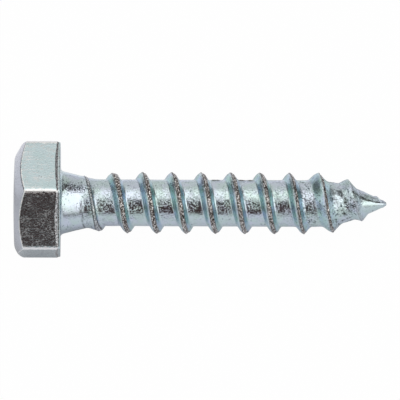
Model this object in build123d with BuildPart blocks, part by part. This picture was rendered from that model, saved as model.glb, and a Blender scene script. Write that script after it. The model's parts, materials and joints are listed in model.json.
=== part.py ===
"""Hex-head lag screw: cold-formed head, tapered neck, rolled wood thread and gimlet point, in one piece.

The screw is drawn upright: its axis is Z, the bearing face of its head is at z = 0 and its point is
up. It is then laid down as it comes to rest, on the lower flat of the head and on one thread crest
near the point, with the centre of its bearing face still at the origin. Lengths are in millimetres
and angles in degrees.
"""

from build123d import *

import os
from math import atan2, ceil, cos, degrees, hypot, radians, sin, sqrt, tan

# Head
HEAD_FLATS = 16.8  # across flats, for a 17 mm spanner
HEAD_HEIGHT = 7.2
HEAD_EDGE_RADIUS = 0.4  # on the six edges between the flats
HEAD_SHIFT = 0.45  # of the hexagon off the screw's axis, where the trimming die sat
HEAD_SHIFT_BEARING = 37.9  # and the angle about the axis towards which it sat
CHAMFER_ANGLE = 30.0  # of the cone that trims the head's top corners
CROWN_DIAMETER = 13.9  # of the low dome inside that cone
CROWN_RISE = 0.15  # of the dome, from its rim to its middle
CROWN_ROUND = 2.0  # blend between the dome and the cone
RIM_CHAMFER = 0.3  # on the hexagon's corners at the bearing face
BREAK_DEPTH = 0.3  # of the trimming break, in the middle of each flat's lower edge
BREAK_HEIGHT = 0.65  # how far that break reaches up the flat

# Neck, core and point
LENGTH = 50.0  # from the bearing face to the tip
NECK_DIAMETER = 9.8
NECK_LENGTH = 5.3
NECK_FILLET = 0.5
CORE_DIAMETER = 7.15
POINT_ANGLE = 50.0  # included angle of the gimlet point
POINT_BLEND = 20.0  # radius that blends the core into the point
TIP_DIAMETER = 0.5  # of the blunt end
TIP_ROUND = 0.25

# Thread
PITCH = 4.5
THREAD_DIAMETER = 9.5
FLANK_ANGLE = 30.0  # each flank, from the plane square to the axis
CREST_WIDTH = 0.6
CREST_WIDTH_AT_TIP = 0.25
START_HEIGHT = 2.2  # where the crest line begins, hidden inside the neck
START_BEARING = -74.9  # and the angle about the axis at which it begins
START_DIAMETER = 8.0  # crest diameter there
RISE_LENGTH = 11.0  # along the axis, from the start to the full diameter
END_GAP = 0.8  # from the tip back to where the thread dies into the point
END_SINK = 0.04  # how deep the crest has sunk there, as a part of the core's radius
ROOT_SINK = 0.08  # how deep the thread is rooted, as a part of the core's radius
SECTIONS_PER_TURN = 12

core_radius = CORE_DIAMETER / 2
thread_radius = THREAD_DIAMETER / 2
corner_radius = HEAD_FLATS / 2 / cos(radians(30))  # to the head's sharp corners
crown_radius = CROWN_DIAMETER / 2

# The point is a blunt cone, blended into the core by an arc.
point_slope = tan(radians(POINT_ANGLE / 2))
apex_height = LENGTH + TIP_DIAMETER / 2 / point_slope
shoulder_height = apex_height - core_radius / point_slope
blend_reach = POINT_BLEND * tan(radians(POINT_ANGLE / 4))
blend_start = shoulder_height - blend_reach
blend_end = shoulder_height + blend_reach * cos(radians(POINT_ANGLE / 2))
thread_end = LENGTH - END_GAP


def core_radius_at(height):
    """Radius of the screw's core, between the neck and the tip."""
    if height < blend_start:
        return core_radius
    if height < blend_end:
        return core_radius - POINT_BLEND + sqrt(POINT_BLEND**2 - (height - blend_start) ** 2)
    return (apex_height - height) * point_slope


def crest_radius_at(height):
    """Radius of the thread's crest, which rises out of the neck and fades into the point."""
    start_radius = START_DIAMETER / 2
    risen = min((height - START_HEIGHT) / RISE_LENGTH, 1)
    crest = start_radius + (thread_radius - start_radius) * risen * (2 - risen)
    if height < blend_start:
        return crest
    faded = (height - blend_start) / (thread_end - blend_start)
    thread_height = thread_radius - core_radius * (1 - END_SINK)
    return core_radius_at(height) * (1 - END_SINK) + thread_height * (1 - faded**3)


def crest_width_at(height):
    """Width of the crest, which narrows along the point."""
    faded = max((height - blend_start) / (thread_end - blend_start), 0)
    return CREST_WIDTH + (CREST_WIDTH_AT_TIP - CREST_WIDTH) * faded


def thread_bearing_at(height):
    """Angle about the axis, in radians, at which the crest line passes this height."""
    return radians(START_BEARING) + radians(360) * (height - START_HEIGHT) / PITCH


head_shift_bearing = radians(HEAD_SHIFT_BEARING)

# The six-sided head, about its own centre, with its lower edges broken back by the trimming.
break_slope = atan2(BREAK_DEPTH, BREAK_HEIGHT)
break_reach = BREAK_DEPTH * BREAK_HEIGHT / hypot(BREAK_DEPTH, BREAK_HEIGHT)
half_flat = corner_radius / 2
break_radius = half_flat**2 / (2 * break_reach)
with BuildPart() as head:
    with BuildSketch(Plane.XY.offset(-HEAD_HEIGHT)):
        hexagon = RegularPolygon(HEAD_FLATS / 2, 6, major_radius=False)
        fillet(hexagon.vertices(), HEAD_EDGE_RADIUS)
    extrude(amount=HEAD_HEIGHT)
    with BuildSketch(Plane.XZ):
        with BuildLine():
            Polyline(
                (0, 0),
                (corner_radius - RIM_CHAMFER, 0),
                (corner_radius, -RIM_CHAMFER),
                (corner_radius, -HEAD_HEIGHT),
                (0, -HEAD_HEIGHT),
                close=True,
            )
        make_face()
    revolve(axis=Axis.Z, mode=Mode.INTERSECT)
    with Locations((0, 0, break_radius * sin(break_slope) - BREAK_HEIGHT)):
        with PolarLocations(HEAD_FLATS / 2 + break_radius * cos(break_slope), 6, start_angle=30):
            Cylinder(
                break_radius,
                4 * BREAK_HEIGHT,
                rotation=(0, -degrees(break_slope), 0),
                mode=Mode.SUBTRACT,
            )

with BuildPart() as screw:
    with Locations((HEAD_SHIFT * cos(head_shift_bearing), HEAD_SHIFT * sin(head_shift_bearing))):
        add(head.part)

    # The crown is turned about the screw's own axis.
    with BuildSketch(Plane.XZ):
        with BuildLine():
            crown_edge = (crown_radius, CROWN_RISE - HEAD_HEIGHT)
            outer_radius = corner_radius + HEAD_SHIFT
            cone_end = crown_edge[1] + (outer_radius - crown_radius) * tan(radians(CHAMFER_ANGLE))
            TangentArc((0, -HEAD_HEIGHT), crown_edge, tangent=(1, 0))
            Polyline(crown_edge, (outer_radius, cone_end), (outer_radius, 0), (0, 0), (0, -HEAD_HEIGHT))
        outline = make_face()
        fillet(outline.vertices().sort_by_distance(crown_edge)[0], CROWN_ROUND)
    revolve(axis=Axis.Z, mode=Mode.INTERSECT)

    with BuildSketch(Plane.XZ):
        with BuildLine():
            Polyline(
                (0, -HEAD_HEIGHT / 2),
                (NECK_DIAMETER / 2 + 2 * NECK_FILLET, -HEAD_HEIGHT / 2),
                (NECK_DIAMETER / 2 + 2 * NECK_FILLET, 0),
                (NECK_DIAMETER / 2, 0),
                (core_radius, NECK_LENGTH),
                (core_radius, shoulder_height),
                (TIP_DIAMETER / 2, LENGTH),
                (0, LENGTH),
                close=True,
            )
        outline = make_face()
        fillet(outline.vertices().sort_by_distance((NECK_DIAMETER / 2, 0))[0], NECK_FILLET)
        fillet(outline.vertices().sort_by_distance((core_radius, shoulder_height))[0], POINT_BLEND)
        fillet(outline.vertices().sort_by_distance((TIP_DIAMETER / 2, LENGTH))[0], TIP_ROUND)
    revolve(axis=Axis.Z)

    # The thread is lofted about a turn at a time, through sections that each contain the axis.
    loft_count = ceil((thread_end - START_HEIGHT) / PITCH)
    section_spacing = (thread_end - START_HEIGHT) / loft_count / SECTIONS_PER_TURN
    for loft_number in range(loft_count):
        for section_number in range(SECTIONS_PER_TURN + 1):
            station = loft_number * SECTIONS_PER_TURN + section_number
            height = START_HEIGHT + station * section_spacing
            bearing = thread_bearing_at(height)
            crest = crest_radius_at(height)
            root = core_radius_at(height + PITCH / 5) * (1 - ROOT_SINK)
            half_crest = crest_width_at(height) / 2
            half_root = half_crest + (crest - root) * tan(radians(FLANK_ANGLE))
            outward = (cos(bearing), sin(bearing), 0)
            square_on = (sin(bearing), -cos(bearing), 0)
            with BuildSketch(Plane((0, 0, height), x_dir=outward, z_dir=square_on)):
                with BuildLine():
                    Polyline(
                        (root, -half_root),
                        (crest, -half_crest),
                        (crest, half_crest),
                        (root, half_root),
                        close=True,
                    )
                make_face()
        loft(clean=False)

# Laid down, the axis dips until the first stretch of crest meets the plane under the head's flat.
lower_flat = HEAD_FLATS / 2 - HEAD_SHIFT * sin(head_shift_bearing)
crest_steps = ceil(90 * (thread_end - START_HEIGHT) / PITCH)
crest_heights = [START_HEIGHT + PITCH * step / 90 for step in range(crest_steps)]
dip = min(
    atan2(lower_flat + crest_radius_at(height) * sin(thread_bearing_at(height)), height)
    for height in crest_heights
)
lying = Plane((0, 0, 0), x_dir=(0, 1, 0), z_dir=(cos(dip), 0, -sin(dip)))
with BuildPart(lying) as lag_screw:
    add(screw.part, clean=False)

lag_screw.part.label = "lag_screw"
os.makedirs("parts", exist_ok=True)
export_step(lag_screw.part, "parts/lag_screw.step")
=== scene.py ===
"""Looks of a hex-head lag screw: bright blue-passivated zinc over cold-formed, thread-rolled steel.

The screw is drawn upright in millimetres, with its axis on z, the bearing face of its head at z = 0
and its point up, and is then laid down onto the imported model, in metres. One closed skin replaces
the CAD solid. The shank is a grid that follows the thread, and the head is a stack of closed loops.
"""

import json
from math import cos, pi, radians, sin, tan

import bpy
import numpy as np
from mathutils import Matrix, Vector, noise


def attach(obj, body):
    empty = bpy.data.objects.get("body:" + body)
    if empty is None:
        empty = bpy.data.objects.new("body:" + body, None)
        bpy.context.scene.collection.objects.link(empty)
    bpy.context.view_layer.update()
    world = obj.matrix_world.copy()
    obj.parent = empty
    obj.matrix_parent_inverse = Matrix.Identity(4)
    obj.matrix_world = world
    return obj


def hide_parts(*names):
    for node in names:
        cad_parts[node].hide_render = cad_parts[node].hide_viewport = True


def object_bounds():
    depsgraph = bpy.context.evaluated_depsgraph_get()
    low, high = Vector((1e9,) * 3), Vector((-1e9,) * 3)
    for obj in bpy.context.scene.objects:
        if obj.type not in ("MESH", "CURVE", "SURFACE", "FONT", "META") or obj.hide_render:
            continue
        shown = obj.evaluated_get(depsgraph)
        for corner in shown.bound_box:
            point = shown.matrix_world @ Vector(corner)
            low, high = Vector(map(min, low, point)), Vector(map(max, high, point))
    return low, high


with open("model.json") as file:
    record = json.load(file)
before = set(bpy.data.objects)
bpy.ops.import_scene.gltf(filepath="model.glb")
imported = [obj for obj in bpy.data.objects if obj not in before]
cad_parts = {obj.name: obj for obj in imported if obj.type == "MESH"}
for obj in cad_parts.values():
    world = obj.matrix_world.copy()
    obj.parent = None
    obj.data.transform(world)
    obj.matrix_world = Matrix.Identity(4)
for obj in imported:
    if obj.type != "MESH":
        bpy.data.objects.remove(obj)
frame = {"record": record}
cad_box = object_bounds()

MM = 0.001
TURN = 2 * pi

# Head, in millimetres
HEAD_FLATS = 16.8
HEAD_HEIGHT = 7.2
HEAD_EDGE_RADIUS = 0.85
HEAD_SHIFT = 0.45
HEAD_SHIFT_BEARING = radians(37.9)
CHAMFER_ANGLE = radians(30)
CROWN_RADIUS = 6.95
CROWN_RISE = 0.15
CROWN_ROUND = 0.28
RIM_ROUND = 0.12
BREAK_DEPTH = 0.24  # how far the trimmed strip stands back from the flat
BREAK_HEIGHT = 0.3
BREAK_AT_CORNERS = 0.48
BREAK_STEP = 0.36  # length of the torn slope between flat and strip
EDGE_ROUND = 0.22

# Neck, core and point
LENGTH = 50.0
NECK_RADIUS = 4.9
NECK_LENGTH = 5.3
NECK_FILLET = 0.5
CORE_RADIUS = 3.575
POINT_SLOPE = tan(radians(25))
POINT_BLEND = 20.0
TIP_RADIUS = 0.28

# Thread
PITCH = 4.5
THREAD_RADIUS = 4.69
FLANK_SLOPE = 1 / tan(radians(30))
CREST_WIDTH = 0.58
CREST_WIDTH_IN_NECK = 0.4
CREST_WIDTH_AT_START = 0.95  # over the first turn, which the dies filled least
CREST_WIDTH_NEAR_POINT = 0.34
CREST_WIDTH_AT_TIP = 0.22
CREST_NARROWS = 30.0  # height from which the crest narrows
CREST_ROUND = 0.75  # rounding of the corners between the crest and its flanks
CREST_ROUND_ON_POINT = 1.1
CREST_RISE_ON_POINT = 0.06  # makes up for the height that the larger rounding takes away
SHOULDER = 0.12  # by which the crest is broader towards the head
SHOULDER_ON_POINT = 0.5
ROOT_ROUND = 0.3  # rounding between the flanks and the core
ROOT_ROUND_ON_POINT = 1.2
SEAM_OFFSET = 0.13  # of the seam from the crest's middle, towards the point
SEAM_LIP = 0.04
SEAM_GROOVE = 0.075
RUN_IN_SLOPE = 0.36  # of the broad facet by which the thread leaves the neck
POINT_FLANK_SLOPE = 1.5  # of the flank towards the head, along the point
START_HEIGHT = 2.2
START_BEARING = radians(-74.9)
START_RADIUS = 4.0
RISE_LENGTH = 11.0
END_GAP = 0.8
END_SINK = 0.04

# Grid of the skin
COLUMNS = 168
LINES_PER_PITCH = 40

APEX_HEIGHT = LENGTH + 0.25 / POINT_SLOPE
SHOULDER_HEIGHT = APEX_HEIGHT - CORE_RADIUS / POINT_SLOPE
BLEND_REACH = POINT_BLEND * tan(radians(12.5))
BLEND_START = SHOULDER_HEIGHT - BLEND_REACH
BLEND_END = SHOULDER_HEIGHT + BLEND_REACH * cos(radians(25))
THREAD_END = LENGTH - END_GAP

# Light levels of the room, by angle in degrees over the screw from the front horizon: along its
# middle, past the point's end and past the head's end
ROOM = [(0, 0.05), (10, 0.03), (20, 0.055), (40, 0.055), (54, 0.08), (62, 0.2), (70, 0.7), (80, 1.25),
        (92, 1.45), (106, 1.4), (118, 1.05), (132, 0.72), (160, 0.78), (180, 0.7)]
OPEN_END = [(0, 0.5), (16, 1.1), (40, 1.5), (90, 1.6), (98, 1.2), (104, 0.3), (110, 0.06), (126, 0.08),
            (136, 0.42), (150, 0.52), (180, 0.5)]
HEAD_END = [(0, 0.45), (10, 0.5), (30, 0.8), (52, 1.1), (70, 0.85), (90, 0.8), (116, 1.1), (130, 0.7),
            (180, 0.6)]
# Light levels of the floor, by millimetres behind the screw's axis
FLOOR_FRONT, FLOOR_BACK = -120.0, 200.0
FLOOR = [(-120, 0.1), (-110, 0.1), (-25, 1.3), (0, 1.15), (6, 1.0), (10, 0.65), (16, 1.3), (24, 1.7),
         (40, 1.6), (60, 1.2), (110, 0.9), (200, 0.85)]

VIEW_BEARING = radians(127.9)  # the side of the screw that is seen, as an angle about its axis


# ---------------------------------------------------------------- shape

def rounded_max(a, b, width):
    """The larger of two surfaces, with the corner between them filled over this width."""
    overlap = np.maximum(width - np.abs(a - b), 0) / width
    return np.maximum(a, b) + overlap**2 * width / 4


def rounded_min(a, b, width):
    return -rounded_max(-a, -b, width)


def smooth_step(value, start, end):
    part = np.clip((value - start) / (end - start), 0, 1)
    return part * part * (3 - 2 * part)


def band(value, start, full, fade, end):
    """1 between full and fade, and 0 before start and after end."""
    return smooth_step(value, start, full) * (1 - smooth_step(value, fade, end))


def wobble(points, size, seed):
    """Smooth random numbers from -1 to 1 at each point, with bumps of this size."""
    shift = Vector((seed * 17.3, seed * 5.7, seed * 31.1))
    return np.array([noise.noise(Vector(p) / size + shift) for p in points])


def core_radius_at(height):
    neck = NECK_RADIUS + (CORE_RADIUS - NECK_RADIUS) * height / NECK_LENGTH
    body = rounded_max(neck, CORE_RADIUS, 0.3)
    along_blend = np.clip(height - BLEND_START, 0, BLEND_END - BLEND_START)
    blend = CORE_RADIUS - POINT_BLEND + np.sqrt(POINT_BLEND**2 - along_blend**2)
    cone = (APEX_HEIGHT - height) * POINT_SLOPE
    to_tip = np.clip(LENGTH - height, 0, TIP_RADIUS)
    ball = np.sqrt(2 * TIP_RADIUS * to_tip - to_tip**2) + np.clip(LENGTH - TIP_RADIUS - height, 0, None)
    point = np.where(height < BLEND_END, blend, cone)
    return np.minimum(np.where(height < BLEND_START, body, point), ball)


def crest_radius_at(height):
    risen = np.minimum((height - START_HEIGHT) / RISE_LENGTH, 1)
    crest = START_RADIUS + (THREAD_RADIUS - START_RADIUS) * risen * (2 - risen)
    faded = np.clip((height - BLEND_START) / (THREAD_END - BLEND_START), 0, 1.2)
    thread_height = THREAD_RADIUS - CORE_RADIUS * (1 - END_SINK)
    on_point = core_radius_at(height) * (1 - END_SINK) + thread_height * (1 - faded**2.7)
    return np.where(height < BLEND_START, crest, on_point)


def crest_width_at(height):
    """Width of the crest: narrow in the neck, broad over the first turn and narrower along the point."""
    narrowed = smooth_step(height, CREST_NARROWS, BLEND_START)
    faded = np.clip((height - BLEND_START) / (THREAD_END - BLEND_START), 0, 1)
    out_of_neck = smooth_step(height, 5.0, 5.7)
    first_turn = band(height, 5.3, 6.0, 7.9, 9.2)
    width = CREST_WIDTH + (CREST_WIDTH_NEAR_POINT - CREST_WIDTH) * narrowed
    width += (CREST_WIDTH_AT_TIP - CREST_WIDTH_NEAR_POINT) * faded
    width += (CREST_WIDTH_IN_NECK - CREST_WIDTH) * (1 - out_of_neck)
    return width + (CREST_WIDTH_AT_START - CREST_WIDTH) * first_turn


def run_in_at(crest_height):
    """How far the thread is still running out of the neck: 1 where it starts, 0 when it is full."""
    return 1 - smooth_step(crest_height, 5.4, 7.4)


def flank_slope_at(offset, crest_height):
    """The flank towards the head starts as a broad facet, is steep after the first turn, and is a little
    less steep along the point. The other flank is steep all along."""
    slope = FLANK_SLOPE + (RUN_IN_SLOPE - FLANK_SLOPE) * run_in_at(crest_height)
    slope += (POINT_FLANK_SLOPE - FLANK_SLOPE) * smooth_step(crest_height, 36.5, 40)
    return np.where(offset < 0, slope, FLANK_SLOPE)


def shank_radius_at(offset, height):
    """Radius of the shank at a height, this far along the axis from the nearest crest line."""
    crest_height = height - offset
    crest = crest_radius_at(crest_height)
    on_point = smooth_step(crest_height, 36, 40)
    shoulder = SHOULDER * smooth_step(crest_height, 6, 10) + (SHOULDER_ON_POINT - SHOULDER) * on_point
    half_width = crest_width_at(crest_height) / 2 + np.where(offset < 0, shoulder, 0)
    flank = crest + (half_width - np.abs(offset)) * flank_slope_at(offset, crest_height)
    crest_round = CREST_ROUND + (CREST_ROUND_ON_POINT - CREST_ROUND) * on_point
    ridge = rounded_min(crest, flank, crest_round) + CREST_RISE_ON_POINT * on_point
    softened = smooth_step(height, CREST_NARROWS, BLEND_END) * (1 - smooth_step(height, 44.0, 47.0))
    root_round = ROOT_ROUND + (ROOT_ROUND_ON_POINT - ROOT_ROUND) * softened
    core = core_radius_at(height)
    return rounded_max(core, ridge, np.minimum(root_round, core) + 0.01)


def thread_marks(offset, height, radius, on_shank):
    """How much each point is seam or flank, how near it is to the seam's border, and its place across
    the seam, which runs from -1 to 1."""
    crest_height = height - offset
    crest, core = crest_radius_at(crest_height), core_radius_at(height)
    run_in = run_in_at(crest_height)
    stands = smooth_step(crest - core, 0.06, 0.3) * on_shank
    half_width = crest_width_at(crest_height) / 2
    off_seam = offset - SEAM_OFFSET
    seam = (1 - smooth_step(np.abs(off_seam), half_width - 0.02, half_width + 0.07)) * stands
    seam *= 1 - 0.4 * run_in
    flank = smooth_step(np.abs(offset), half_width + 0.05, half_width + 0.2)
    flank *= 1 - smooth_step(radius, crest, crest + 0.02)
    flank *= smooth_step(radius - core, 0.0, 0.14) * stands * (1 - run_in)
    flank *= 1 - 0.8 * smooth_step(height, 40, 44)
    border = np.exp(-(((np.abs(off_seam) - half_width - 0.02) / 0.06) ** 2)) * stands * (1 + run_in)
    marks = {"seam": seam, "flank": flank, "border": border, "across": off_seam / half_width}
    return {name: values.reshape(-1) for name, values in marks.items()}


def shank_grid():
    """Points, faces and marks of the shank. Its lines run along the thread, and each line joins the one
    a pitch further on where it closes its turn. Points past either end gather into a ring and a pole."""
    steps = (np.arange(LINES_PER_PITCH) + 0.5) / LINES_PER_PITCH * 2 - 1
    offsets = PITCH / 2 * (0.4 * steps + 0.6 * steps**3)
    turns = np.arange(-2, int(LENGTH / PITCH) + 3)
    line_offset = np.tile(offsets, len(turns))
    line_turn = np.repeat(turns, LINES_PER_PITCH)
    bearings = TURN * np.arange(COLUMNS) / COLUMNS
    crest_at_zero = START_HEIGHT - PITCH * START_BEARING / TURN
    offset, bearing = np.meshgrid(line_offset, bearings, indexing="ij")
    turn = np.repeat(line_turn[:, None], COLUMNS, axis=1)
    height = crest_at_zero + PITCH * (turn + bearing / TURN) + offset
    below, above = height <= NECK_FILLET, height >= LENGTH
    height = np.clip(height, NECK_FILLET, LENGTH)
    radius = shank_radius_at(offset, height)
    radius = np.where(below, core_radius_at(np.full_like(height, NECK_FILLET)), radius)
    points = np.stack([radius * np.cos(bearing), radius * np.sin(bearing), height], axis=-1)
    marks = thread_marks(offset, height, radius, ~below & ~above)

    lines = len(line_offset)
    index = np.arange(lines * COLUMNS).reshape(lines, COLUMNS)
    ring = index[0].copy()
    index[below] = np.broadcast_to(ring, index.shape)[below]
    index[above] = index[-1, 0]
    faces = []
    for line in range(lines - LINES_PER_PITCH - 1):
        here, there = index[line], index[line + 1]
        next_here = np.append(here[1:], index[line + LINES_PER_PITCH, 0])
        next_there = np.append(there[1:], index[line + LINES_PER_PITCH + 1, 0])
        for quad in zip(here, next_here, next_there, there):
            corners = list(dict.fromkeys(int(corner) for corner in quad))
            if len(corners) > 2:
                faces.append(corners)
    return points.reshape(-1, 3), faces, marks, ring


def hexagon_radius(off_flat):
    """Distance from the hexagon's middle to its rounded outline, at an angle off a flat's normal."""
    inner = HEAD_FLATS / 2
    corner_centre = (inner - HEAD_EDGE_RADIUS) / cos(radians(30))
    tangent_angle = np.arctan2((inner - HEAD_EDGE_RADIUS) * tan(radians(30)), inner)
    off_corner = radians(30) - np.abs(off_flat)
    on_arc = corner_centre * np.cos(off_corner) + np.sqrt(
        np.maximum(HEAD_EDGE_RADIUS**2 - (corner_centre * np.sin(off_corner)) ** 2, 0)
    )
    return np.where(np.abs(off_flat) > tangent_angle, on_arc, inner / np.cos(off_flat))


def crown_height(reach):
    """Distance of the head's top from the bearing face, at a distance from the screw's axis."""
    dome = CROWN_RISE * (reach / CROWN_RADIUS) ** 2
    cone = CROWN_RISE + (reach - CROWN_RADIUS) * tan(CHAMFER_ANGLE)
    return HEAD_HEIGHT - rounded_max(dome, cone, CROWN_ROUND)


def head_loops():
    """Closed loops from the neck's fillet over the bearing face, the flats and the chamfer to the
    middle of the crown, each with its region's name."""
    bearings = TURN * np.arange(COLUMNS) / COLUMNS
    # The flats' normals lie at 30, 90, 150 ... degrees. Columns crowd together at the corners.
    face_step = (bearings / radians(60)) % 1 * 2 - 1
    off_flat = radians(30) * np.sin(face_step * pi / 2)
    flat_normal = np.floor(bearings / radians(60)) * radians(60) + radians(30)
    head_bearing = flat_normal + off_flat
    outline = hexagon_radius(off_flat)
    middle = HEAD_SHIFT * np.array([cos(HEAD_SHIFT_BEARING), sin(HEAD_SHIFT_BEARING)])
    outward = np.stack([np.cos(head_bearing), np.sin(head_bearing)], axis=-1)
    loops = []

    def add_loop(name, plan, depth):
        heights = -np.broadcast_to(depth, COLUMNS)
        loops.append((name, np.column_stack([plan, heights])))

    def at_outline(inset):
        return middle + outward * (outline - inset / np.cos(off_flat))[:, None]

    around = np.stack([np.cos(bearings), np.sin(bearings)], axis=-1)
    neck_slope = (NECK_RADIUS - CORE_RADIUS) / NECK_LENGTH
    for step in np.linspace(0, pi / 2, 6)[1:]:
        ring = NECK_RADIUS + NECK_FILLET * (1 - cos(step))
        ring -= neck_slope * NECK_FILLET * (1 - sin(step))
        add_loop("zinc", around * ring, -NECK_FILLET * (1 - sin(step)))
    neck_ring = around * (NECK_RADIUS + NECK_FILLET)

    # The trimming break is highest and deepest in the middle of each flat, and its upper end is uneven
    across = outline * np.sin(off_flat) / (outline.max() / 2)
    break_height = BREAK_AT_CORNERS + BREAK_HEIGHT * (1 - across**2)
    break_points = np.column_stack([np.cos(head_bearing) * 9, np.sin(head_bearing) * 9, bearings * 0])
    break_height += 0.06 * wobble(break_points, 0.5, 3) + 0.05 * wobble(break_points, 1.6, 4)
    break_inset = BREAK_DEPTH * (0.45 + 0.55 * (1 - across**2))

    slope = np.minimum(BREAK_STEP, 0.6 * (break_height - RIM_ROUND))
    strip_end = break_height - slope
    rim = at_outline(break_inset + RIM_ROUND)
    for step in np.linspace(0, 1, 9)[1:]:
        add_loop("flats", neck_ring + (rim - neck_ring) * step, 0)
    for step in np.linspace(0, pi / 2, 4)[1:]:
        inset = break_inset + RIM_ROUND * (1 - sin(step))
        add_loop("flats", at_outline(inset), RIM_ROUND * (1 - cos(step)))
    for step in (0.33, 0.67, 1):
        plan = at_outline(break_inset * (1 - 0.1 * step))
        add_loop("flats", plan, RIM_ROUND + (strip_end - RIM_ROUND) * step)
    for step in (0.2, 0.4, 0.6, 0.8, 1):
        add_loop("torn", at_outline(break_inset * 0.9 * (1 - step)), strip_end + slope * step)

    corner = at_outline(0)
    corner_depth = crown_height(np.linalg.norm(corner, axis=1))
    wall_end = corner_depth - EDGE_ROUND
    for step in np.linspace(0, 1, 15)[1:]:
        ease = 0.5 - 0.5 * cos(pi * step)
        add_loop("flats", corner, break_height + (wall_end - break_height) * ease)
    chamfer_start = at_outline(EDGE_ROUND)
    chamfer_start_depth = crown_height(np.linalg.norm(chamfer_start, axis=1))
    for step in (0.25, 0.5, 0.75, 1):
        keep, bend, reach = (1 - step) ** 2, 2 * step * (1 - step), step**2
        plan = corner * (keep + bend) + chamfer_start * reach
        add_loop("flats", plan, wall_end * keep + corner_depth * bend + chamfer_start_depth * reach)
    crown_rim = around * CROWN_RADIUS * 1.04
    for step in np.linspace(0, 1, 7)[1:]:
        plan = chamfer_start + (crown_rim - chamfer_start) * step
        add_loop("flats", plan, crown_height(np.linalg.norm(plan, axis=1)))
    for step in (0.97, 0.93, 0.88, 0.8, 0.7, 0.58, 0.45, 0.3, 0.15):
        plan = crown_rim * step
        add_loop("flats", plan, crown_height(np.linalg.norm(plan, axis=1)))
    return loops


def screw_skin():
    """The whole skin: points in millimetres, faces, each face's finish and each point's marks."""
    points, faces, marks, ring = shank_grid()
    finish = ["zinc"] * len(faces)
    region = np.full(len(points), "zinc", dtype=object)
    inner = ring
    for name, loop in head_loops():
        outer = len(points) + np.arange(COLUMNS)
        points = np.concatenate([points, loop])
        region = np.concatenate([region, np.full(COLUMNS, name, dtype=object)])
        for column in range(COLUMNS):
            after = (column + 1) % COLUMNS
            faces.append([int(inner[after]), int(inner[column]), int(outer[column]), int(outer[after])])
            finish.append(name)
        inner = outer
    pole = len(points)
    points = np.concatenate([points, [[0, 0, -HEAD_HEIGHT]]])
    region = np.append(region, "flats")
    for column in range(COLUMNS):
        faces.append([int(inner[(column + 1) % COLUMNS]), int(inner[column]), pole])
        finish.append("flats")
    used = np.unique(np.concatenate([np.array(face) for face in faces]))
    renumber = np.full(len(points), -1)
    renumber[used] = np.arange(len(used))
    faces = [[int(renumber[corner]) for corner in face] for face in faces]
    for name, values in marks.items():
        marks[name] = np.concatenate([values, np.zeros(len(points) - len(values))])[used]
    return points[used], faces, finish, region[used], marks


def raised_at(points):
    """Angle of each point about the axis, up from the middle of the side that is seen, in radians."""
    return (VIEW_BEARING - np.arctan2(points[:, 1], points[:, 0]) + pi) % TURN - pi


def near_line(points, start, end, width):
    """How near each point of the shank is to a line between two places, given as height and as degrees
    up from the middle of the side seen: 1 on the line, 0 from its width outwards. Also the angle above
    the line."""
    reach = np.hypot(points[:, 0], points[:, 1])
    raised = raised_at(points)
    part = np.clip((points[:, 2] - start[0]) / (end[0] - start[0]), 0, 1)
    on_line = radians(start[1]) + radians(end[1] - start[1]) * part
    aside = np.abs(raised - on_line) * reach
    beyond = np.maximum(start[0] - points[:, 2], points[:, 2] - end[0])
    return (1 - smooth_step(aside, 0, width)) * (1 - smooth_step(beyond, 0, width)), raised - on_line


def seam_relief(seam, across, fine, coarse):
    """Two lips that met over the crest, with a ragged groove between them."""
    aside = np.abs(across - 0.2 * coarse)
    lips = np.exp(-(((aside - 0.75) / 0.3) ** 2))
    groove = np.exp(-((aside / 0.25) ** 2))
    return seam * (SEAM_LIP * lips * (1 + coarse) - SEAM_GROOVE * groove * (0.6 + fine) + 0.03 * fine)


def cracks_at(points, raised, seam):
    """Fine cracks near the point. Most run around the screw, and few are on its top."""
    height = points[:, 2]
    drawn = points * np.array([1, 1, 2.2])
    cracks = np.exp(-((wobble(drawn, 0.9, 9) / 0.07) ** 2))
    cracks *= smooth_step(wobble(points, 0.8, 10), -0.35, 0.05)
    cracks *= smooth_step(height, 40.6, 41.6) + 0.6 * band(height, 36, 37, 38.8, 39.6)
    cracks *= (1 - smooth_step(height, 45.4, 46.0)) * (1 - seam)
    return cracks * (1 - 0.7 * smooth_step(raised, 0.35, 0.7))


def head_marks(points):
    """How near each point of the head's walls is to an edge, and where the crown is."""
    height = points[:, 2]
    off_middle = points[:, :2] - HEAD_SHIFT * np.array([cos(HEAD_SHIFT_BEARING), sin(HEAD_SHIFT_BEARING)])
    from_middle = np.hypot(off_middle[:, 0], off_middle[:, 1])
    corner_share = np.abs((np.arctan2(off_middle[:, 1], off_middle[:, 0]) / radians(60) + 0.5) % 1 - 0.5)
    from_corner = corner_share * radians(60) * from_middle
    below_chamfer = crown_height(np.hypot(points[:, 0], points[:, 1])) + height
    beside_chamfer = np.where(below_chamfer > 0.04, below_chamfer * 2.2, 1)
    on_wall = (from_middle > HEAD_FLATS / 2 * 0.99) * (height < -0.3)
    edge = on_wall * np.clip(1 - np.minimum(from_corner, beside_chamfer), 0, 1)
    edge *= smooth_step(below_chamfer, 0.0, 0.06)
    crown = (1 - smooth_step(below_chamfer, 0.0, 0.1)) * (height < -4)
    return edge, crown


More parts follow.
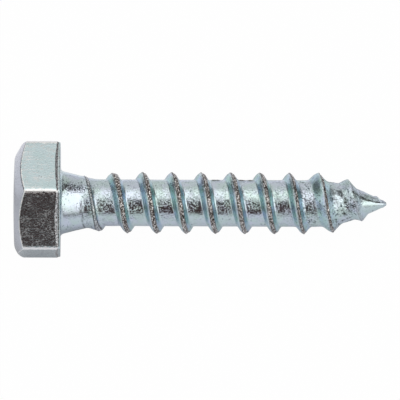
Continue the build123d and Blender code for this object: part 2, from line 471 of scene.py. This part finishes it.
def weathered(points, normals, region, marks):
    """Moves the skin's points to the lips, dents, folds and cracks that rolling and handling leave, and
    adds the marks that the finishes read."""
    height, seam = points[:, 2], marks["seam"]
    raised = raised_at(points)
    fine, coarse = wobble(points, 0.28, 1), wobble(points, 0.7, 2)
    dents, waves = wobble(points, 1.1, 6), wobble(points, 2.6, 7)
    push = (height > 0.55) * (0.016 * waves + 0.008 * dents)
    push += seam_relief(seam, marks.pop("across"), fine, coarse)

    # The fine raised line that the rolling die's edge left on the neck, and rough metal beside it
    off_die = np.abs(height - 3.3 - 0.25 * np.clip(-raised, 0, None) ** 2)
    die_line = (1 - smooth_step(off_die, 0.05, 0.16)) * (1 - smooth_step(np.abs(raised + 0.6), 0.65, 0.8))
    push += 0.05 * die_line
    push += band(height, 3.0, 3.5, 4.6, 5.6) * (1 - seam) * 0.022 * fine

    # The point is dented and cracked. It has a hollow, a fold that runs to the tip, and a burr there.
    cracks = cracks_at(points, raised, seam)
    push += band(height, 34, 42, 48.5, 49.8) * (0.03 * dents + 0.022 * coarse + 0.02 * fine)
    push -= 0.05 * cracks
    hollow, _ = near_line(points, (43.1, 36), (43.5, 12), 0.55)
    push -= 0.16 * hollow
    fold, above = near_line(points, (45.4, 30), (49.4, 8), 1.2)
    beside_fold = fold * smooth_step(above, 0.0, 0.08)
    push += beside_fold * (0.05 * coarse + 0.03 * fine - 0.04)
    push += 0.07 * band(height, 49.0, 49.5, 49.8, 50.0)
    torn = region == "torn"
    push[torn] += 0.05 * fine[torn] + 0.02 * coarse[torn]

    # Lumps of grime, as height and length, that stuck to the top of the core
    lumps = [(23.5, 0.6), (27.5, 0.5), (29.0, 0.2)]
    grime = sum(near_line(points, (at, 76), (at + length, 76), 0.6)[0] for at, length in lumps)
    grime = np.clip(1.5 * grime * (0.8 + fine), 0, 1) * (1 - seam)
    push += 0.1 * grime

    marks["edge"], marks["crown"] = head_marks(points)
    # A painted shade line runs along the fold
    fold_line = fold * (1 - smooth_step(np.abs(above - 0.06 + 0.1 * coarse), 0.05, 0.2))
    # Darkening: real grime on the core, painted shade in the cracks, the hollow and along the fold, and
    # dark lines along the seam's borders and the die line
    grime_and_painted_shade = marks.pop("border") * (1 - 0.6 * smooth_step(height, 38, 43)) * (0.55 + 0.6 * coarse)
    grime_and_painted_shade += cracks + 0.75 * hollow + 1.2 * fold_line * (0.7 + fine)
    marks["grime_and_painted_shade"] = np.clip(grime_and_painted_shade + grime + 0.7 * die_line * (0.7 + coarse), 0, 1)
    marks["matt"] = beside_fold
    # Two bands on the neck, on the side that is seen, where pits crowd as a painted dark reflection
    upper_painted_reflection_band, _ = near_line(points, (0.6, 40), (4.2, 30), 1.5)
    lower_painted_reflection_band, _ = near_line(points, (0.6, -17), (4.2, -17), 0.8)
    # The neck and the fold's lower side are smooth, and the first turns are smoother than the rest
    peel = 0.3 + 0.7 * smooth_step(height, 3.0, 3.6) - 0.2 * band(height, 7, 11, 24, 36)
    peel *= 1 - 0.7 * smooth_step(height, 45.8, 46.8) * (1 - beside_fold)
    marks["peel"] = peel + 0.6 * upper_painted_reflection_band
    marks["stain"] = seam * (1 - 0.75 * smooth_step(height, 41.5, 43.5))
    marks["rough"] = np.clip(band(height, 3.2, 4.2, 7, 12) + smooth_step(height, 24, 42), 0, 1)
    marks["pit_crowding_and_painted_reflection"] = upper_painted_reflection_band + 0.6 * lower_painted_reflection_band + 0.4 * beside_fold
    marks["pit_crowding_and_painted_reflection"] += 0.4 * band(height, 33, 37, 45.5, 46.5)
    return points + normals * push[:, None]


mounts = {mount["name"]: mount for mount in frame["record"]["mounts"]}
along = np.array(mounts["thread"]["axis"])
along /= np.linalg.norm(along)
side = np.array([0.0, 1.0, 0.0])
up = np.cross(along, side)


def laid_down(points):
    """Points of the upright screw, in millimetres, where they lie, in metres."""
    return MM * (points @ np.array([side, up, along]))


def make_screw():
    points, faces, finish, region, marks = screw_skin()
    mesh = bpy.data.meshes.new("lag_screw_skin")
    mesh.from_pydata(points.tolist(), [], faces)
    normals = np.zeros(len(points) * 3)
    mesh.vertex_normals.foreach_get("vector", normals)
    points = weathered(points, normals.reshape(-1, 3), region, marks)
    mesh.vertices.foreach_set("co", laid_down(points).astype(np.float32).ravel())
    upright = mesh.attributes.new("upright", "FLOAT_VECTOR", "POINT")
    upright.data.foreach_set("vector", points.astype(np.float32).ravel())
    for name, values in marks.items():
        mark = mesh.attributes.new(name, "FLOAT", "POINT")
        mark.data.foreach_set("value", values.astype(np.float32))
    finishes = {"zinc": bright_zinc(), "flats": zinc_on_flats(), "torn": torn_edge()}
    for material in finishes.values():
        mesh.materials.append(material)
    order = list(finishes)
    mesh.polygons.foreach_set("material_index", [order.index(name) for name in finish])
    mesh.polygons.foreach_set("use_smooth", [True] * len(faces))
    mesh.update()
    screw = bpy.data.objects.new("lag_screw_skin", mesh)
    bpy.context.scene.collection.objects.link(screw)
    return screw


# ---------------------------------------------------------------- finishes

def colour(code):
    """A linear colour from an sRGB hex code."""
    values = [int(code[k : k + 2], 16) / 255 for k in (1, 3, 5)]
    return [v / 12.92 if v <= 0.04045 else ((v + 0.055) / 1.055) ** 2.4 for v in values] + [1.0]


def node(tree, kind, inputs=None, **settings):
    """Adds a node. Settings are its own, and each input takes a value or another node's output."""
    new = tree.nodes.new("ShaderNode" + kind)
    for name, value in settings.items():
        setattr(new, name, value)
    for name, value in (inputs or {}).items():
        if isinstance(value, bpy.types.NodeSocket):
            tree.links.new(value, new.inputs[name])
        else:
            new.inputs[name].default_value = value
    return new


def new_material(name):
    material = bpy.data.materials.new(name)
    material.use_nodes = True
    return material, material.node_tree, material.node_tree.nodes["Principled BSDF"]


def noise_at(tree, place, size, detail=3.0, roughness=0.6):
    """Noise with features of this size, in millimetres."""
    inputs = {"Vector": place, "Scale": 1 / size, "Detail": detail, "Roughness": roughness}
    return node(tree, "TexNoise", inputs).outputs["Fac"]


def between(tree, value, start, end, low=0.0, high=1.0):
    """Brings a value's range from start to end onto low to high, and holds it there."""
    inputs = {"Value": value, "From Min": start, "From Max": end, "To Min": low, "To Max": high}
    return node(tree, "MapRange", inputs).outputs["Result"]


def maths(tree, operation, *values):
    return node(tree, "Math", dict(enumerate(values)), operation=operation).outputs[0]


def tints(tree, value, stops):
    """Colours at their places along a value."""
    ramp = node(tree, "ValToRGB", {"Fac": value})
    elements = ramp.color_ramp.elements
    for at, _ in stops[2:]:
        elements.new(at)
    for element, (at, code) in zip(elements, stops):
        element.position = at
        element.color = colour(code)
    return ramp.outputs["Color"]


def mixed(tree, part, first, second, blend="MIX"):
    """Two colours mixed."""
    return node(tree, "Mix", {0: part, 6: first, 7: second}, data_type="RGBA", blend_type=blend).outputs[2]


def mixed_value(tree, part, first, second):
    return node(tree, "Mix", {0: part, 2: first, 3: second}).outputs[0]


def mark(tree, name, output="Fac"):
    return node(tree, "Attribute", attribute_name=name).outputs[output]


def bright_zinc():
    """Zinc electroplated over rolled steel and passivated clear blue. It mirrors the room through the
    orange peel of the rolled skin, is greenish to bluish and stronger in tint on the flanks, and is
    dull, brown and torn along the seam on the crest."""
    material, tree, shader = new_material("bright_zinc")
    place, seam, flank = mark(tree, "upright", "Vector"), mark(tree, "seam"), mark(tree, "flank")
    body = tints(tree, noise_at(tree, place, 2.4, 2.0), [(0.38, "#c5d8d7"), (0.62, "#cbd5e2")])
    teal = tints(tree, noise_at(tree, place, 1.1, 2.0), [(0.4, "#e6f9f2"), (0.6, "#e4f1fc")])
    stained = mixed(tree, flank, body, teal, "MULTIPLY")
    # Pits about 0.25 mm wide, in groups, hold dull grey-blue residue. On the neck, on the side that is
    # seen, they crowd into two bands as a painted dark reflection, and they also crowd along the point and
    # beside its fold.
    crowd = maths(tree, "MULTIPLY_ADD", mark(tree, "pit_crowding_and_painted_reflection"), 0.1, noise_at(tree, place, 0.26, 2.0))
    groups = between(tree, noise_at(tree, place, 1.7, 2.0), 0.46, 0.58, -0.06, 0.0)
    pits = between(tree, maths(tree, "ADD", crowd, groups), 0.62, 0.66)
    pitted = mixed(tree, pits, stained, colour("#5c6c72"))
    # The seam's torn grains are about 0.2 mm across, brown in the grooves and bright on the lips
    grain = noise_at(tree, place, 0.2, 2.0, 0.6)
    torn = tints(tree, grain, [(0.41, "#2b2523"), (0.49, "#716a66"), (0.56, "#b3aea8"), (0.6, "#ffffff")])
    seamed = mixed(tree, mark(tree, "stain"), pitted, torn)
    # Darker by real grime and by painted shade in the cracks, the hollow and along the fold
    tree.links.new(mixed(tree, mark(tree, "grime_and_painted_shade"), seamed, colour("#31332f")), shader.inputs["Base Color"])
    shader.inputs["Metallic"].default_value = 1.0

    # Orange peel: a gentle unevenness, and dimples 0.24 mm across with steep sides that stand apart
    uneven = noise_at(tree, place, 0.3, 2.0, 0.5)
    dimples = between(tree, noise_at(tree, place, 0.24, 1.0, 0.5), 0.52, 0.68)
    peel = maths(tree, "MULTIPLY_ADD", uneven, 1.3, dimples)
    # It is deep in patches, shallow on the flanks and full along the seam
    patchy = between(tree, noise_at(tree, place, 1.8, 1.0), 0.36, 0.62, 0.25, 1.0)
    depth = maths(tree, "MULTIPLY", patchy, mark(tree, "peel"))
    depth = maths(tree, "MULTIPLY", depth, between(tree, flank, 0.0, 1.0, 1.0, 0.35))
    depth = maths(tree, "MAXIMUM", depth, seam)
    bump = node(tree, "Bump", {"Height": peel, "Strength": depth, "Distance": 0.06 * MM})
    tree.links.new(bump.outputs["Normal"], shader.inputs["Normal"])
    polished = between(tree, mark(tree, "rough"), 0.0, 1.0, 0.08, 0.2)
    dulled = mixed_value(tree, mark(tree, "matt"), polished, 0.6)
    on_flank = mixed_value(tree, flank, dulled, 0.24)
    tree.links.new(mixed_value(tree, seam, on_flank, 0.3), shader.inputs["Roughness"])
    return material


def zinc_on_flats():
    """The same plating over flats that a trimming die sheared smooth: greyer, with fine scratches along
    the screw's axis, a finer grain and rubbed edges."""
    material, tree, shader = new_material("zinc_on_sheared_flats")
    place = mark(tree, "upright", "Vector")
    # Scratches about 0.15 mm wide and 5 mm long, in places
    drawn = node(tree, "Mapping", {"Vector": place, "Scale": (1, 1, 0.035)}).outputs["Vector"]
    lines = noise_at(tree, drawn, 0.16, 3.0, 0.7)
    where = between(tree, noise_at(tree, place, 2.2, 2.0), 0.42, 0.56)
    scratch = maths(tree, "MULTIPLY", between(tree, lines, 0.57, 0.66), where)
    # Matt grains stand between polished ones, and show as light specks where the flat mirrors the dark
    drawn_less = node(tree, "Mapping", {"Vector": place, "Scale": (1, 1, 0.6)}).outputs["Vector"]
    grain = noise_at(tree, drawn_less, 0.2, 3.0, 0.65)
    patches = between(tree, noise_at(tree, place, 1.6, 2.0), 0.35, 0.65, -0.06, 0.05)
    streaks = maths(tree, "MULTIPLY_ADD", lines, 0.14, patches)
    matt = between(tree, maths(tree, "MULTIPLY_ADD", grain, 0.86, streaks), 0.51, 0.63)
    polished = tints(tree, noise_at(tree, place, 3.0, 3.0), [(0.38, "#c5d9dc"), (0.62, "#cadce1")])
    grained = mixed(tree, matt, polished, colour("#d0d6d7"))
    scratched = mixed(tree, scratch, grained, colour("#f0f2f2"))
    pits = between(tree, noise_at(tree, place, 0.3, 3.0), 0.65, 0.7)
    pitted = mixed(tree, pits, scratched, colour("#6a6462"))
    dulled = mixed(tree, mark(tree, "crown"), pitted, colour("#bfc3ca"))
    # The edges are rubbed bright, with a ragged border
    ragged = maths(tree, "MULTIPLY_ADD", noise_at(tree, place, 0.4, 3.0, 0.7), 1.5, mark(tree, "edge"))
    rubbed = between(tree, ragged, 1.4, 1.48)
    tree.links.new(mixed(tree, rubbed, dulled, colour("#f6f7f7")), shader.inputs["Base Color"])
    shader.inputs["Metallic"].default_value = 1.0
    scored = maths(tree, "MULTIPLY", scratch, 0.45)
    rough = maths(tree, "MAXIMUM", scored, maths(tree, "MULTIPLY_ADD", matt, 0.37, 0.05))
    tree.links.new(mixed_value(tree, rubbed, rough, 0.35), shader.inputs["Roughness"])
    relief = maths(tree, "MULTIPLY_ADD", lines, 0.15, grain)
    bump = node(tree, "Bump", {"Height": relief, "Strength": 1.0, "Distance": 0.03 * MM})
    tree.links.new(bump.outputs["Normal"], shader.inputs["Normal"])
    return material


def torn_edge():
    """Plated steel where the trimming die tore the last of the flat away: coarse-grained and darker."""
    material, tree, shader = new_material("torn_edge")
    place = mark(tree, "upright", "Vector")
    grain = noise_at(tree, place, 0.22, 3.0, 0.65)
    tree.links.new(tints(tree, grain, [(0.42, "#6b6664"), (0.58, "#e2e5e7")]), shader.inputs["Base Color"])
    shader.inputs["Metallic"].default_value = 1.0
    shader.inputs["Roughness"].default_value = 0.26
    bump = node(tree, "Bump", {"Height": grain, "Strength": 1.0, "Distance": 0.07 * MM})
    tree.links.new(bump.outputs["Normal"], shader.inputs["Normal"])
    return material


# ---------------------------------------------------------------- studio

def grey_ramp(tree, value, stops, low=0.0, high=180.0):
    """A ramp of light levels over the range from low to high. The dimmest levels are warmer."""
    ramp = node(tree, "ValToRGB", {"Fac": value})
    elements = ramp.color_ramp.elements
    for at, _ in stops[2:]:
        elements.new((at - low) / (high - low))
    for element, (at, level) in zip(elements, stops):
        element.position = (at - low) / (high - low)
        warm = 1.02 + 1.4 * max(0, 1 - level / 0.08)
        element.color = (level * warm, level, level * 0.98, 1)
    return ramp.outputs["Color"]


def make_floor(top):
    """A pale sweep under the screw. The camera sees it as white, with a trace of the screw's shadow."""
    mesh = bpy.data.meshes.new("floor")
    half = 3.0
    corners = [(-half, -half, top), (half, -half, top), (half, half, top), (-half, half, top)]
    mesh.from_pydata(corners, [], [(0, 1, 2, 3)])
    floor = bpy.data.objects.new("floor", mesh)
    bpy.context.scene.collection.objects.link(floor)
    material = bpy.data.materials.new("white_sweep")
    material.use_nodes = True
    tree = material.node_tree
    tree.nodes.remove(tree.nodes["Principled BSDF"])
    lit = node(tree, "BsdfDiffuse", {"Color": (0.6, 0.6, 0.6, 1)})
    seen = node(tree, "Emission", {"Color": (1, 1, 1, 1), "Strength": 1.0})
    # What the zinc mirrors: light that changes from front to back, with a painted shadow under the screw's
    # head, and brighter past its point
    place = node(tree, "NewGeometry").outputs["Position"]
    parts = node(tree, "SeparateXYZ", {"Vector": place}).outputs
    behind = between(tree, parts["Y"], FLOOR_FRONT * MM, FLOOR_BACK * MM)
    spread = grey_ramp(tree, behind, FLOOR, FLOOR_FRONT, FLOOR_BACK)
    head_foot = (-0.003, 0.0, top)
    to_head = node(tree, "VectorMath", {0: place, 1: head_foot}, operation="DISTANCE").outputs["Value"]
    level = maths(tree, "MULTIPLY", spread, between(tree, to_head, 0.007, 0.013, 0.55, 1.0))
    level = maths(tree, "MULTIPLY", level, between(tree, parts["X"], 0.052, 0.08, 1.0, 1.35))
    mirrored = node(tree, "Emission", {"Color": colour("#dfe0e8"), "Strength": level})
    # Half of what is mirrored is that light and half is the lit sweep with its shadows
    path = node(tree, "LightPath").outputs
    glossy = maths(tree, "MULTIPLY", path["Is Glossy Ray"], 0.5)
    camera = maths(tree, "MULTIPLY", path["Is Camera Ray"], 0.985)
    first = node(tree, "MixShader", {0: glossy, 1: lit.outputs[0], 2: mirrored.outputs[0]})
    second = node(tree, "MixShader", {0: camera, 1: first.outputs[0], 2: seen.outputs[0]})
    tree.links.new(second.outputs[0], tree.nodes["Material Output"].inputs["Surface"])
    mesh.materials.append(material)


def make_world():
    """A plain studio room: dark in front of the screw, brightest overhead and lighter again behind. It is
    lit otherwise past the point's end, which is open in front and dark just behind the top, and past
    the head's end."""
    world = bpy.data.worlds.new("studio")
    bpy.context.scene.world = world
    world.use_nodes = True
    tree = world.node_tree
    background = tree.nodes["Background"]
    direction = node(tree, "TexCoord").outputs["Generated"]
    parts = node(tree, "SeparateXYZ", {"Vector": direction}).outputs
    # The angle over the screw from the front horizon, 0, to the back horizon, 1
    over = maths(tree, "ARCTAN2", parts["Z"], maths(tree, "MULTIPLY", parts["Y"], -1.0))
    over = maths(tree, "MULTIPLY", over, 1 / pi)
    past_point = between(tree, parts["X"], 0.22, 0.42)
    past_head = between(tree, parts["X"], -0.3, -0.5)
    surround = mixed(tree, past_point, grey_ramp(tree, over, ROOM), grey_ramp(tree, over, OPEN_END))
    surround = mixed(tree, past_head, surround, grey_ramp(tree, over, HEAD_END))
    # Behind, the two ends of the room are dim
    ends = between(tree, maths(tree, "ABSOLUTE", parts["X"]), 0.5, 0.72)
    dim = maths(tree, "MULTIPLY", ends, between(tree, over, 0.53, 0.63))
    surround = mixed(tree, dim, surround, (0.17, 0.165, 0.17, 1))
    seen = node(tree, "LightPath").outputs["Is Camera Ray"]
    tree.links.new(mixed(tree, seen, surround, (1, 1, 1, 1)), background.inputs["Color"])
    background.inputs["Strength"].default_value = 1.0


def make_softbox(name, place, size, power, aim):
    light = bpy.data.lights.new(name, "AREA")
    light.shape = "RECTANGLE"
    light.size, light.size_y = size
    light.energy = power
    lamp = bpy.data.objects.new(name, light)
    lamp.location = place
    lamp.rotation_euler = (Vector(aim) - Vector(place)).to_track_quat("-Z", "Y").to_euler()
    bpy.context.scene.collection.objects.link(lamp)
    lamp.visible_glossy = False  # the zinc mirrors the room's own light, and not the lamp


def make_camera():
    """A long lens, square to the screw's axis, looking down onto the near edge of the head."""
    view_width = 61.35
    distance = 2500.0
    toward = cos(VIEW_BEARING) * side + sin(VIEW_BEARING) * up
    picture_up = np.cross(toward, along)
    centre = along * 21.4 + picture_up * 0.475
    roll = radians(0.25)
    right = along * cos(roll) + picture_up * sin(roll)
    above = picture_up * cos(roll) - along * sin(roll)
    camera_data = bpy.data.cameras.new("camera")
    camera_data.sensor_width = 36.0
    camera_data.lens = 36.0 * distance / view_width
    camera_data.clip_end = 20.0
    camera = bpy.data.objects.new("camera", camera_data)
    place = MM * (centre + toward * distance)
    camera.matrix_world = Matrix((
        (right[0], above[0], toward[0], place[0]),
        (right[1], above[1], toward[1], place[1]),
        (right[2], above[2], toward[2], place[2]),
        (0, 0, 0, 1),
    ))
    bpy.context.scene.collection.objects.link(camera)
    bpy.context.scene.camera = camera


screw = make_screw()
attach(screw, "root")
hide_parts("lag_screw")
make_floor(cad_box[0][2])
make_world()
make_softbox("overhead_softbox", (0.02, 0.1, 0.6), (1.2, 0.3), 1.0, (0.02, 0.0, 0.0))
make_camera()
bpy.context.scene.view_settings.view_transform = "Standard"
